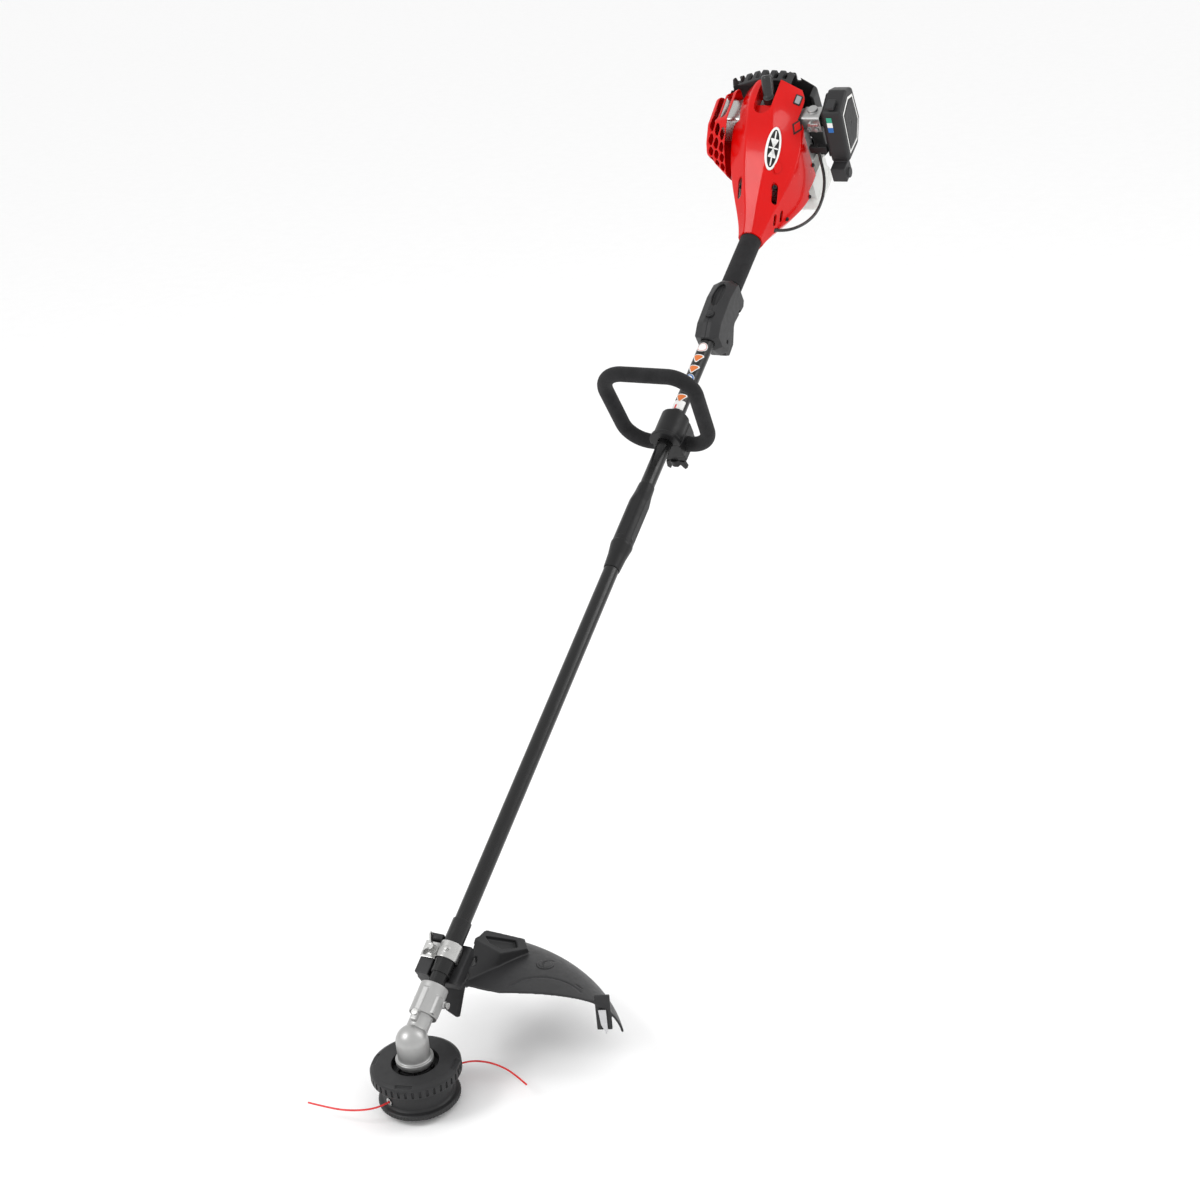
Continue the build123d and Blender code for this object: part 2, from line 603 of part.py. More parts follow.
def notch_column(radius, low, high):
    """Upright U-shaped column that runs out of the shroud's rear edge."""
    with BuildSketch(above(low)) as slot_face:
        with Locations((NOTCH_SIDE, NOTCH_FRONT)):
            Circle(radius)
        with Locations((NOTCH_SIDE, (NOTCH_FRONT + REAR + 4) / 2)):
            Rectangle(2 * radius, REAR + 4 - NOTCH_FRONT)
    return extrude(slot_face.sketch, amount=high - low, mode=Mode.PRIVATE)


SHROUD_HULL = shroud_body(0)
SHROUD_HOLLOW = shroud_body(WALL)

with BuildPart() as shroud:
    add(SHROUD_HULL)
    add(SHROUD_HOLLOW, mode=Mode.SUBTRACT)
    add(notch_column(NOTCH_R + WALL, 108, 140) & SHROUD_HULL)
    add(notch_column(NOTCH_R, 100, 145), mode=Mode.SUBTRACT)
    with BuildSketch(beside(30)) as carb_window:
        with BuildLine():
            Polyline((MOUTH + 166, -60), (MOUTH + 166, 72), (MOUTH + 177, 95), (MOUTH + 199, 101),
                     (REAR + 3, 108), (REAR + 3, -60), close=True)
        make_face()
    extrude(carb_window.sketch, amount=40, mode=Mode.SUBTRACT)
    block((MOUTH + 128, REAR + 2), (-80, 80), (-70, -12), mode=Mode.SUBTRACT)
    block((MOUTH + 167, REAR + 2), (-80, -42.5), (47, 105), mode=Mode.SUBTRACT)
    boom_bar(MOUTH - 5, MOUTH + 8, GRIP_R + 0.1, mode=Mode.SUBTRACT)
    for slot_station, slot_side in ((MOUTH + 64, 31), (MOUTH + 66, -26)):
        with BuildSketch(above(0, slot_station, slot_side)) as screw_slot:
            SlotOverall(26, 8, rotation=90)
        extrude(screw_slot.sketch, amount=120, mode=Mode.SUBTRACT)
    for vent in range(2):
        with BuildSketch(beside(10, MOUTH + 40 + 14 * vent, 8 - 5 * vent)) as vent_slot:
            SlotOverall(19, 6, rotation=60)
        extrude(vent_slot.sketch, amount=50, mode=Mode.SUBTRACT)
    cable_start = at(MOUTH + 34, 26, -8)
    cable_way = at(MOUTH + 42, 38, -17) - cable_start
    round_bar(Plane(origin=cable_start, z_dir=cable_way), 18, 4, mode=Mode.SUBTRACT)
save(shroud, "shroud")

GUARD_RIM_SECTION = [(MOUTH + 98, 48), (MOUTH + 120, 88), (MOUTH + 158, 116), (REAR - 2, 122), (REAR - 2, 24),
                     (MOUTH + 150, 14), (MOUTH + 112, 22)]
GUARD_FACE_SECTION = [(MOUTH + 132, 62), (MOUTH + 142, 78), (MOUTH + 166, 96), (REAR - 8, 104), (REAR - 8, 44),
                      (MOUTH + 168, 38), (MOUTH + 144, 46)]


def muffler_dome(inset):
    """Domed cover beside the muffler, whole or moved in by its wall."""
    centre = Vector(MOUTH + 180, 74)
    sections = []
    for points, side, round_r in ((GUARD_RIM_SECTION, -62.3, 14), (GUARD_FACE_SECTION, -105 + inset, 10)):
        with BuildSketch(beside(side)) as outline:
            with BuildLine():
                moved = []
                for along, up in points:
                    reach = hypot(along - centre.X, up - centre.Y)
                    keep = (reach - inset) / reach
                    moved.append((centre.X + (along - centre.X) * keep, centre.Y + (up - centre.Y) * keep))
                Polyline(*moved, close=True)
            make_face()
            fillet(outline.vertices(), round_r)
        sections.append(outline.sketch)
    return loft(sections, mode=Mode.PRIVATE)


with BuildPart() as muffler_guard:
    add(muffler_dome(0))
    fillet(muffler_guard.faces().sort_by(Axis.X)[0].edges(), 9)
    add(muffler_dome(WALL), mode=Mode.SUBTRACT)
    for tall_slot in (-90, -74):
        with BuildSketch(above(60, MOUTH + 196, tall_slot)) as slot_face:
            SlotOverall(60, 12, rotation=90)
        extrude(slot_face.sketch, amount=90, mode=Mode.SUBTRACT)
    for row in range(4):
        for place in range(3):
            with BuildSketch(across(MOUTH + 176)) as bar_slot:
                with Locations((-93 + 12 * place, 98 - 14 * row)):
                    SlotOverall(14, 8, rotation=65)
            extrude(bar_slot.sketch, amount=100, mode=Mode.SUBTRACT)
save(muffler_guard, "muffler_guard")

# ---------------------------------------------------------------- engine
CLUTCH = MOUTH + 76.0
with BuildPart() as clutch_drum:
    boom_bar(CLUTCH - 2, CLUTCH + 18, 27)
    boom_bar(CLUTCH, CLUTCH + 19, 25, mode=Mode.SUBTRACT)
save(clutch_drum, "clutch_drum")

with BuildPart() as clutch_shoes:
    boom_bar(CLUTCH + 3, CLUTCH + 15, 23.5)
    boom_bar(CLUTCH + 2, CLUTCH + 16, 10, mode=Mode.SUBTRACT)
    block((CLUTCH + 2, CLUTCH + 16), (-30, 30), (-2.5, 2.5), mode=Mode.SUBTRACT)
    boom_bar(CLUTCH + 4, CLUTCH + 14, 9.5, 6)
save(clutch_shoes, "clutch_shoes")

FLYWHEEL = MOUTH + 108.0
with BuildPart() as flywheel:
    boom_bar(FLYWHEEL + 10, FLYWHEEL + 22, 37, 6)
    boom_bar(FLYWHEEL, FLYWHEEL + 10, 14, 6)
    with BuildSketch(across(FLYWHEEL + 10)) as blades:
        with PolarLocations(25, 12):
            Rectangle(21, 2.2)
    extrude(blades.sketch, amount=9)
save(flywheel, "flywheel")

# The two halves of the crankshaft; the crank pin rides with the connecting rod.
with BuildPart() as crankshaft:
    boom_bar(CLUTCH + 3, CYLINDER - 24, 6)
    boom_bar(CYLINDER - 24, CYLINDER - 16, 21)
    boom_bar(CYLINDER + 16, CYLINDER + 24, 21)
    boom_bar(CYLINDER + 24, CYLINDER + 46, 6)
save(crankshaft, "crankshaft")

# The crankcase is cast in two halves that meet under the cylinder's axis.
with BuildPart() as crankcase:
    block((CYLINDER - 44, CYLINDER + 36), (-34, 34), (-38, 37.9))
    fillet(crankcase.edges().filter_by(Axis((0, 0, 0), tuple(BOOM))), 9)
    boom_bar(CYLINDER - 26, CYLINDER + 26, 31, mode=Mode.SUBTRACT)
    boom_bar(CYLINDER - 45, CYLINDER + 37, 14, mode=Mode.SUBTRACT)
    post(0, 40, CYLINDER, 0, 20.2, mode=Mode.SUBTRACT)
    split(bisect_by=across(CYLINDER), keep=Keep.BOTH)
save(crankcase, "crankcase")

with BuildPart() as connecting_rod:
    boom_bar(CYLINDER - 5, CYLINDER + 5, 8)
    boom_bar(CYLINDER - 15.5, CYLINDER + 15.5, 4.5)
    block((CYLINDER - 3.5, CYLINDER + 3.5), (-4, 4), (4, 44))
    boom_bar(CYLINDER - 5, CYLINDER + 5, 6.5, up=48)
    boom_bar(CYLINDER - 6, CYLINDER + 6, 4.05, up=48, mode=Mode.SUBTRACT)
save(connecting_rod, "connecting_rod")

with BuildPart() as piston:
    post(38, 62, CYLINDER, 0, BORE_R - 0.07)
    post(37, 57, CYLINDER, 0, 13.5, mode=Mode.SUBTRACT)
    boom_bar(CYLINDER - 20, CYLINDER + 20, 4.0, up=48, mode=Mode.SUBTRACT)
    for groove in (57.5, 60):
        post(groove, groove + 1.2, CYLINDER, 0, BORE_R + 1, BORE_R - 1.2, mode=Mode.SUBTRACT)
    boom_bar(CYLINDER - 16, CYLINDER + 16, 3.98, up=48)
save(piston, "piston")

with BuildPart() as cylinder:
    post(23, 98, CYLINDER, 0, 20)
    block((CYLINDER - 26, CYLINDER + 26), (-30, 30), (38, 42))
    for fin in range(6):
        block((CYLINDER - 29, CYLINDER + 29), (-33, 33), (52 + 8 * fin, 54 + 8 * fin))
    block((CYLINDER - 12, CYLINDER + 12), (-34, 51.9), (66, 91))
    post(19, 86, CYLINDER, 0, BORE_R, mode=Mode.SUBTRACT)
    cross_bar(-35, 53, CYLINDER, 79, 6, mode=Mode.SUBTRACT)
    post(84, 105, CYLINDER, 0, 5, mode=Mode.SUBTRACT)
save(cylinder, "cylinder")

with BuildPart() as spark_plug:
    post(86, 102, CYLINDER, 0, 4.95)
    with BuildSketch(above(102, CYLINDER)) as plug_hex:
        RegularPolygon(9, 6)
    extrude(plug_hex.sketch, amount=8)
    post(110, 124, CYLINDER, 0, 5)
save(spark_plug, "spark_plug")

with BuildPart() as plug_boot:
    boot_low = at(CYLINDER, -1, 112)
    boot_lean = at(CYLINDER + 26, -6, 148) - boot_low
    round_bar(Plane(origin=boot_low, z_dir=boot_lean), boot_lean.length, 9.5)
    fillet(plug_boot.edges().filter_by(GeomType.CIRCLE).sort_by(Axis.Z)[-1], 5)
    post(110, 126, CYLINDER, 0, 9)
    post(98, 110.2, CYLINDER, 0, 14, mode=Mode.SUBTRACT)
    post(100, 124.2, CYLINDER, 0, 5.05, mode=Mode.SUBTRACT)
save(plug_boot, "plug_boot")

with BuildPart() as muffler:
    block((CYLINDER - 26, CYLINDER + 26), (-90, -44), (50, 102))
    fillet(muffler.edges(), 7)
    block((CYLINDER - 12, CYLINDER + 12), (-45, -34), (68, 90))
    cross_bar(-46, -33, CYLINDER, 79, 6, mode=Mode.SUBTRACT)
save(muffler, "muffler")

# ---------------------------------------------------------------- rear cover and starter
with BuildPart() as starter_cover:
    with BuildSketch(across(REAR + 30)) as cover_outline:
        with BuildLine():
            Polyline((-40, -40), (40, -40), (57, -24), (57, 92), (16, 127), (-30, 130), (-88, 112),
                     (-98, 60), (-62, 20), (-57, -24), close=True)
        make_face()
        fillet(cover_outline.vertices(), 9)
    extrude(cover_outline.sketch, amount=29.5)
    fillet(starter_cover.faces().sort_by(Axis(tuple(at(0)), tuple(BOOM)))[-1].edges(), 8)
    block((REAR - 1, REAR + 26), (-92, 52), (44, 118), mode=Mode.SUBTRACT)
    boom_bar(REAR - 1, REAR + 26, 36, mode=Mode.SUBTRACT)
    for rib in range(9):
        block((REAR + 6, REAR + 40), (-80 + 15 * rib, -73 + 15 * rib), (104, 140), mode=Mode.SUBTRACT)
    with BuildSketch(across(REAR + 34)) as vent_slot:
        with PolarLocations(22, 10):
            SlotOverall(18, 3.5)
    extrude(vent_slot.sketch, amount=12, mode=Mode.SUBTRACT)
save(starter_cover, "starter_cover")

PULLEY_R = 20.0
with BuildPart() as starter_pulley:
    boom_bar(REAR + 12.5, REAR + 14.5, PULLEY_R + 3, 6.05)
    boom_bar(REAR + 14.5, REAR + 18, PULLEY_R, 6.05)
    boom_bar(REAR + 18, REAR + 20, PULLEY_R + 3, 6.05)
save(starter_pulley, "starter_pulley")

with BuildPart() as starter_grip:
    block((REAR + 31, REAR + 43), (-16, 20), (97, 110))
    fillet(starter_grip.edges(), 3.5)
save(starter_grip, "starter_grip")

# ---------------------------------------------------------------- fuel tank
with BuildPart() as tank_hollow:
    block((MOUTH + 148.5, REAR - 4.5), (-47.5, 55.5), (-73.5, -44.5))
    fillet(tank_hollow.edges(), 8)
TANK_HOLLOW = tank_hollow.part

with BuildPart() as fuel_tank:
    block((MOUTH + 146, REAR - 2), (-50, 58), (-76, -42))
    fillet(fuel_tank.edges(), 11)
    block((MOUTH + 150, REAR - 14), (42, 56), (-50, -14))
    add(TANK_HOLLOW, mode=Mode.SUBTRACT)
    cross_bar(-58, -48, MOUTH + 189, -59, 15)
    cross_bar(-60, -45, MOUTH + 189, -59, 12.5, mode=Mode.SUBTRACT)
save(fuel_tank, "fuel_tank")

with BuildPart() as fuel_cap:
    cross_bar(-70, -58.2, MOUTH + 189, -59, 19)
    cross_bar(-60, -50, MOUTH + 189, -59, 12)
    with BuildSketch(beside(-71, MOUTH + 189, -59)) as cap_grooves:
        with PolarLocations(19.3, 18):
            Rectangle(2.4, 3)
    extrude(cap_grooves.sketch, amount=10, mode=Mode.SUBTRACT)
save(fuel_cap, "fuel_cap")

# ---------------------------------------------------------------- bearings and screws
with BuildPart() as bearings:
    upright(62, 68, 12.98, 5.05)
    upright(75, 81, 12.98, 5.05)
    boom_bar(17, 23.5, 9.98, DRIVE_R + 0.05)
    boom_bar(26, 32.5, 9.98, DRIVE_R + 0.05)
    boom_bar(CYLINDER - 42, CYLINDER - 31, 13.98, 6.05)
    boom_bar(CYLINDER + 27.5, CYLINDER + 35, 13.98, 6.05)
save(bearings, "bearings")

with BuildPart() as case_screws:
    for end in (-1, 1):
        cross_bar(min(end * 20.5, end * 24.5), max(end * 20.5, end * 24.5), 57, -8, 4.2)
    round_bar(above(20.5, 30), 2.5, 4.5)
    post(-19.5, -14.3, COUPLER_SEAM + 34, 0, 4)
    post(17, 19.2, GUARD_CLAMP + 11, 3, 3)
    for screw_station in (TRIGGER_LOW + 4, TRIGGER_TOP - 30):
        cross_bar(14.05, 17, screw_station, -21, 3.3)
    boom_bar(MOUTH + 122, MOUTH + 127.9, 3.5, side=48, up=-20)
save(case_screws, "case_screws")

# ---------------------------------------------------------------- carburettor and air filter
CARB = (CYLINDER, 79.0)
with BuildPart() as carburettor:
    block((CYLINDER - 15, CYLINDER + 15), (52, 82), (64, 94))
    fillet(carburettor.edges().filter_by(Axis.X), 4)
    post(94, 98, CYLINDER + 4, 67, 8)
    cross_bar(51, 83, *CARB, 6.5, mode=Mode.SUBTRACT)
    boom_bar(CYLINDER + 15, CYLINDER + 19, 10, 8, side=66, up=76)
    boom_bar(CYLINDER - 19, CYLINDER - 15, 4, side=60, up=72)
    boom_bar(CYLINDER - 19, CYLINDER - 15, 4, side=74, up=72)
save(carburettor, "carburettor")

with BuildPart() as throttle_lever:
    boom_bar(CYLINDER - 22.5, CYLINDER - 15.3, 3.2, side=67, up=86)
    block((CYLINDER - 22.5, CYLINDER - 20.5), (65, 81.5), (84, 88))
save(throttle_lever, "throttle_lever")

with BuildPart() as air_filter_base:
    with BuildSketch(beside(91)) as base_face:
        with BuildLine():
            Polyline((CYLINDER - 33, 27), (CYLINDER + 9, 26), (CYLINDER + 36, 53), (CYLINDER + 36, 106),
                     (CYLINDER + 15, 119), (CYLINDER - 21, 109), close=True)
        make_face()
        fillet(base_face.vertices(), 6)
    extrude(base_face.sketch, amount=5)
    cross_bar(82, 92, *CARB, 12)
    cross_bar(81, 97, *CARB, 6.5, mode=Mode.SUBTRACT)
    block((CYLINDER - 36, CYLINDER - 27), (62, 92), (40, 52))
    post(30, 60, CYLINDER - 31.5, 75, 3.3, mode=Mode.SUBTRACT)
save(air_filter_base, "air_filter_base")

with BuildPart() as air_filter_element:
    block((CYLINDER - 22, CYLINDER + 26), (96.2, 112), (46, 100))
    fillet(air_filter_element.edges(), 5)
save(air_filter_element, "air_filter_element")

with BuildPart() as air_filter_cover:
    with BuildSketch(beside(126)) as cover_face:
        with BuildLine():
            Polyline((CYLINDER - 38, 22), (CYLINDER + 12, 20), (CYLINDER + 41, 50), (CYLINDER + 41, 110),
                     (CYLINDER + 16, 125), (CYLINDER - 26, 114), close=True)
        make_face()
        fillet(cover_face.vertices(), 7)
    extrude(cover_face.sketch, amount=-29.7)
    fillet(air_filter_cover.faces().sort_by(Axis.X)[-1].edges(), 5)
    with BuildSketch(beside(96)) as cover_hollow:
        with BuildLine():
            Polyline((CYLINDER - 35, 25), (CYLINDER + 10, 23), (CYLINDER + 38, 52), (CYLINDER + 38, 107),
                     (CYLINDER + 15, 122), (CYLINDER - 23, 111), close=True)
        make_face()
        fillet(cover_hollow.vertices(), 6)
    extrude(cover_hollow.sketch, amount=27, mode=Mode.SUBTRACT)
    block((MOUTH + 140, MOUTH + 168), (98, 122), (-2, 24))
    cross_bar(122, 126, MOUTH + 152, 8, 8.5)
save(air_filter_cover, "air_filter_cover")

with BuildPart() as cover_latch:
    block((CYLINDER - 27, CYLINDER - 6), (103, 116), (119.6, 125.5))
    fillet(cover_latch.edges().filter_by(Axis.X), 2)
save(cover_latch, "cover_latch")

with BuildPart() as choke_lever:
    cross_bar(70, 90.7, CYLINDER + 24, 60, 4)
    block((CYLINDER + 22, CYLINDER + 44), (72, 76), (57, 63))
save(choke_lever, "choke_lever")

with BuildPart() as primer_bulb:
    with Locations(tuple(at(CYLINDER + 19, 66, 76))):
        Sphere(7.5)
    block((CYLINDER, CYLINDER + 18.3), (50, 80), (60, 90), mode=Mode.SUBTRACT)
save(primer_bulb, "primer_bulb")

with BuildPart() as throttle_cable:
    CABLE_ROUTE = [tuple(at(MOUTH + s, x, u)) for x, u, s in (
        (26, -8, 34), (38, -17, 42), (54, -24, 56), (67, -30, 78), (75, -32, 104), (78, -25, 132),
        (78, -8, 153), (75, 16, 163.5), (75, 52, 164.5))]
    corded(CABLE_ROUTE, 2.5)
save(throttle_cable, "throttle_cable")
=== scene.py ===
"""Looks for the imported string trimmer: camera, light, finishes and fine pieces, in metres."""

import json
import math

import bmesh
import bpy
from mathutils import Matrix, Vector, noise
from mathutils.bvhtree import BVHTree

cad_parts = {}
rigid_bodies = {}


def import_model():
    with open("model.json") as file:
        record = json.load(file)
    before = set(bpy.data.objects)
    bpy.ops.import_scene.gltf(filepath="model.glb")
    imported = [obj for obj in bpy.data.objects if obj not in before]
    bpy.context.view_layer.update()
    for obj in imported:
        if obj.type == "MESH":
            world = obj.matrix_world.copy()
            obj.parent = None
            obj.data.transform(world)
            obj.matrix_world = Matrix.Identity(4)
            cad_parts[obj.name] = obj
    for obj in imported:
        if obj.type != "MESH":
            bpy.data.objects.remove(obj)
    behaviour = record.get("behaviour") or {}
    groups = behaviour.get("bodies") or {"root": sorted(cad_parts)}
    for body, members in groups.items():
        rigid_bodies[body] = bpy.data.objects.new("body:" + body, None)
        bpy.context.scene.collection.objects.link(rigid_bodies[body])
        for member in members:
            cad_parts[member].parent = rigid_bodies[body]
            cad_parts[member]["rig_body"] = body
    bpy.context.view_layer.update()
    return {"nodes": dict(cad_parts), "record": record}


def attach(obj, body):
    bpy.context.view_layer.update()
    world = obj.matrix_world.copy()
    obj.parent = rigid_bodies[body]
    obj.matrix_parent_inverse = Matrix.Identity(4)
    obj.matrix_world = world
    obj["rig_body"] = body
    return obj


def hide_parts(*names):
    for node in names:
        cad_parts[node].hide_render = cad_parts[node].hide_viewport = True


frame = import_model()
NODES = frame["nodes"]
NODE_BODY = {name: obj["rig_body"] for name, obj in NODES.items()}

MM = 0.001
TILT = math.radians(30)
BOOM = Vector((0, math.cos(TILT), math.sin(TILT)))
UP = Vector((0, -math.sin(TILT), math.cos(TILT)))
SIDE = Vector((1, 0, 0))
CROSSING = Vector((0, 0, 92 * MM))

HANDLE = 1003
TRIGGER_TOP = 1298
MOUTH = 1403
TUBE_R = 11.1


def at(station, side=0.0, up=0.0):
    """Point beside and above the boom's axis, from millimetres."""
    return CROSSING + (BOOM * station + SIDE * side + UP * up) * MM


# ---------------------------------------------------------------- camera, light and floor
def add_camera():
    right = Vector((0.89324, 0.44070, -0.08897))
    up = Vector((-0.10264, 0.39256, 0.91398))
    lens = bpy.data.cameras.new("camera")
    lens.lens = 60
    lens.sensor_width = 36
    camera = bpy.data.objects.new("camera", lens)
    turn = Matrix((right, up, right.cross(up))).transposed().to_4x4()
    camera.matrix_world = Matrix.Translation((1.2383, -1.6856, 1.5533)) @ turn
    bpy.context.scene.collection.objects.link(camera)
    bpy.context.scene.camera = camera


def add_softbox(name, place, target, size, power):
    lamp = bpy.data.lights.new(name, "AREA")
    lamp.shape = "RECTANGLE"
    lamp.size = size[0]
    lamp.size_y = size[1]
    lamp.energy = power
    box = bpy.data.objects.new(name, lamp)
    look = (Vector(target) - Vector(place)).to_track_quat("-Z", "Y")
    box.matrix_world = Matrix.Translation(place) @ look.to_matrix().to_4x4()
    bpy.context.scene.collection.objects.link(box)


def add_studio():
    world = bpy.data.worlds.new("studio")
    bpy.context.scene.world = world
    world.use_nodes = True
    sky = world.node_tree.nodes["Background"]
    sky.inputs["Color"].default_value = (1.0, 1.0, 1.0, 1)
    sky.inputs["Strength"].default_value = 1.0
    bpy.context.scene.view_settings.view_transform = "Standard"
    middle = (0, 0.65, 0.5)
    add_softbox("key_softbox", (-1.6, -1.4, 2.6), middle, (1.1, 1.1), 34)
    add_softbox("rim_softbox", (2.2, 1.6, 2.0), middle, (0.6, 2.0), 18)


# ---------------------------------------------------------------- finishes
def add_node(tree, kind, links=(), **settings):
    """A shader node with its inputs and properties set. links are (input, output socket) pairs."""
    made = tree.nodes.new(kind)
    for key, value in settings.items():
        if key in made.inputs:
            made.inputs[key].default_value = value
        else:
            setattr(made, key, value)
    for key, socket in links:
        tree.links.new(socket, made.inputs[key])
    return made


def mixed(tree, factor, first, second, mode="MIX"):
    """Colour output of a mix. Each argument is a value or a socket."""
    made = tree.nodes.new("ShaderNodeMix")
    made.data_type = "RGBA"
    made.blend_type = mode
    for index, value in ((0, factor), (6, first), (7, second)):
        if isinstance(value, bpy.types.NodeSocket):
            tree.links.new(value, made.inputs[index])
        else:
            made.inputs[index].default_value = value
    return made.outputs[2]


def ranged(tree, value, low, high, to_low, to_high):
    """Output of a map range on a value socket."""
    scale = add_node(tree, "ShaderNodeMapRange", [("Value", value)])
    for key, bound in enumerate((low, high, to_low, to_high), 1):
        scale.inputs[key].default_value = bound
    return scale.outputs[0]


def finish(name, color, rough, metallic=0.0, mottle=0.1, patch=20.0, rough_spread=0.07, grain=1400.0,
           depth=0.05, coarse=0.0, coarse_scale=300.0, edge=None, edge_mm=0.8, coat=0.0, stretch=(1, 1, 1),
           transmission=0.0, sheen=0.0, specular=0.5):
    """A procedural finish: mottled colour, uneven gloss, surface grain, and edges that have worn."""
    material = bpy.data.materials.new(name)
    material.use_nodes = True
    tree = material.node_tree
    shader = tree.nodes["Principled BSDF"]
    place = add_node(tree, "ShaderNodeTexCoord").outputs["Object"]
    run = add_node(tree, "ShaderNodeMapping", [("Vector", place)], Scale=stretch).outputs["Vector"]

    patches = add_node(tree, "ShaderNodeTexNoise", [("Vector", run)], Scale=patch, Detail=5.0, Roughness=0.6)
    shade = ranged(tree, patches.outputs["Fac"], 0.3, 0.7, 1 - mottle, 1 + mottle)
    tint = mixed(tree, 1.0, (*color, 1), shade, "MULTIPLY")

    scuffs = add_node(tree, "ShaderNodeTexNoise", [("Vector", run)], Scale=patch * 7, Detail=6.0,
                      Roughness=0.7)
    gloss = ranged(tree, scuffs.outputs["Fac"], 0.3, 0.7, max(0.03, rough - rough_spread),
                   rough + rough_spread)

    rounded = add_node(tree, "ShaderNodeBevel", Radius=edge_mm * MM, samples=4)
    if edge is not None:
        facing = add_node(tree, "ShaderNodeNewGeometry").outputs["Normal"]
        bend = add_node(tree, "ShaderNodeVectorMath", [(0, facing), (1, rounded.outputs[0])],
                        operation="DOT_PRODUCT")
        worn = ranged(tree, bend.outputs["Value"], 0.995, 0.86, 0.0, 0.75)
        patchy = add_node(tree, "ShaderNodeMath", [(0, worn), (1, scuffs.outputs["Fac"])],
                          operation="MULTIPLY")
        tint = mixed(tree, patchy.outputs[0], tint, (*edge, 1))

    fine = add_node(tree, "ShaderNodeTexNoise", [("Vector", run)], Scale=grain, Detail=3.0)
    height = fine.outputs["Fac"]
    if coarse > 0:
        lumps = add_node(tree, "ShaderNodeTexNoise", [("Vector", run)], Scale=coarse_scale, Detail=2.0)
        total = add_node(tree, "ShaderNodeMath", [(0, lumps.outputs["Fac"]), (2, height)],
                         operation="MULTIPLY_ADD")
        total.inputs[1].default_value = coarse
        height = total.outputs[0]
    bump = add_node(tree, "ShaderNodeBump", [("Height", height), ("Normal", rounded.outputs[0])],
                    Strength=1.0, Distance=depth * MM)

    tree.links.new(tint, shader.inputs["Base Color"])
    tree.links.new(gloss, shader.inputs["Roughness"])
    tree.links.new(bump.outputs[0], shader.inputs["Normal"])
    shader.inputs["Metallic"].default_value = metallic
    shader.inputs["Specular IOR Level"].default_value = specular
    shader.inputs["Coat Weight"].default_value = coat
    shader.inputs["Coat Roughness"].default_value = 0.08
    shader.inputs["Transmission Weight"].default_value = transmission
    shader.inputs["Sheen Weight"].default_value = sheen
    return material


FINISHES = {
    "red_plastic": finish("red_plastic", (0.6, 0.001, 0.0005), 0.24, mottle=0.05, rough_spread=0.05,
                          grain=900, depth=0.008, coat=0.22, edge=(0.7, 0.03, 0.02), edge_mm=1.0,
                          specular=0.12),
    "dark_plastic": finish("dark_plastic", (0.021, 0.021, 0.022), 0.46, mottle=0.14, grain=1600, depth=0.03,
                           coarse=0.4, edge=(0.09, 0.09, 0.09), specular=0.3),
    "black_plastic": finish("black_plastic", (0.010, 0.010, 0.0105), 0.4, mottle=0.15, grain=1500,
                            depth=0.025, edge=(0.06, 0.06, 0.06), specular=0.25),
    "black_tube": finish("black_tube", (0.004, 0.004, 0.0042), 0.27, mottle=0.12, patch=30, grain=700,
                         depth=0.006, edge=(0.1, 0.1, 0.1), stretch=(1, 0.5, 0.5), specular=0.4),
    "foam_rubber": finish("foam_rubber", (0.016, 0.016, 0.017), 0.85, mottle=0.25, patch=60, grain=1700,
                          depth=0.35, coarse=0.8, coarse_scale=700, sheen=0.05, specular=0.2),
    "black_rubber": finish("black_rubber", (0.012, 0.012, 0.012), 0.28, mottle=0.1, grain=600, depth=0.01,
                           edge=(0.06, 0.06, 0.06)),
    "cast_aluminium": finish("cast_aluminium", (0.42, 0.42, 0.415), 0.4, metallic=0.85, mottle=0.07,
                             grain=2200, depth=0.05, coarse=0.5, coarse_scale=600, edge=(0.85, 0.85, 0.85)),
    "zinc_steel": finish("zinc_steel", (0.5, 0.5, 0.49), 0.27, metallic=1.0, mottle=0.08, patch=45,
                         grain=900, depth=0.008, edge=(0.85, 0.85, 0.85)),
    "machined_steel": finish("machined_steel", (0.55, 0.55, 0.56), 0.3, metallic=1.0, mottle=0.1,
                             stretch=(1, 1, 6), grain=700, depth=0.012, edge=(0.8, 0.8, 0.8)),
    "red_nylon": finish("red_nylon", (0.78, 0.02, 0.02), 0.3, mottle=0.12, patch=200, grain=1100, depth=0.1,
                        stretch=(1, 2.5, 1), transmission=0.15),
    "tank_plastic": finish("tank_plastic", (0.86, 0.87, 0.84), 0.36, mottle=0.04, grain=500, depth=0.02,
                           transmission=0.35, coat=0.1),
    "filter_felt": finish("filter_felt", (0.6, 0.55, 0.42), 0.9, mottle=0.2, grain=1500, depth=0.3,
                          sheen=0.4),
}
SLOT_OF_NODE = {part["node"]: part["material_slot"] for part in frame["record"]["subparts"]}


def paint(obj, slot):
    obj.data.materials.clear()
    obj.data.materials.append(FINISHES[slot])


for node_name, node_object in NODES.items():
    for material_slot in node_object.material_slots:
        material_slot.link = "OBJECT"
        material_slot.material = FINISHES[SLOT_OF_NODE[node_name]]


# ---------------------------------------------------------------- mesh helpers
def new_piece(name, mesh, body, slot):
    """A piece of the object on a CAD body, in the finish of one of the record's slots."""
    piece = bpy.data.objects.new(name, mesh)
    bpy.context.scene.collection.objects.link(piece)
    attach(piece, body)
    if slot in FINISHES:
        paint(piece, slot)
    return piece


